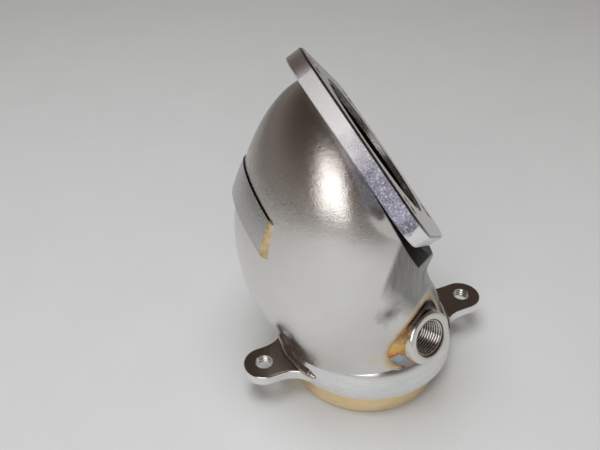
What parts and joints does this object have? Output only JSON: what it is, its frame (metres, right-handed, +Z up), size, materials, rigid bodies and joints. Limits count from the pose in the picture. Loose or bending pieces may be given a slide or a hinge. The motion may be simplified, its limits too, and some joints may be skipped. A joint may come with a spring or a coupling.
{
  "type": "turbo outlet pipe",
  "caption": "Short welded elbow pipe with a tilted square flange at its wide end, a two-ear flange with a round spigot below it, and a threaded sensor bung in its neck.",
  "frame": {"origin": "centre of the spigot's lower rim, on the surface that the part stands on", "axes": "+Z up the spigot's axis, +X towards the side that the turbine flange faces, the bend lies in the XZ plane"},
  "size_m": [0.1363, 0.119, 0.1768],
  "materials": {
    "flange_steel": "ground, with a light heat tint",
    "cast_shell": "fine orange peel, polished",
    "ground_seam": "ground",
    "machined_steel": "turned",
    "straw_steel": "turned, with a straw heat tint",
    "weld_bead": "rippled bead with a gold heat tint"
  },
  "bodies": {
    "root": {"turbine_flange": "flange_steel", "port_weld": "weld_bead", "elbow_half_near": "cast_shell", "elbow_half_far": "cast_shell", "seam_weld_outer": "ground_seam", "seam_weld_inner": "ground_seam", "outlet_flange": "machined_steel", "outlet_weld": "ground_seam", "ear_weld_left": "weld_bead", "ear_weld_right": "weld_bead", "spigot": "straw_steel", "sensor_bung": "machined_steel", "sensor_bung_weld": "weld_bead", "back_plate": "cast_shell", "back_plate_weld_near": "weld_bead", "back_plate_weld_far": "weld_bead"}
  },
  "joints": []
}
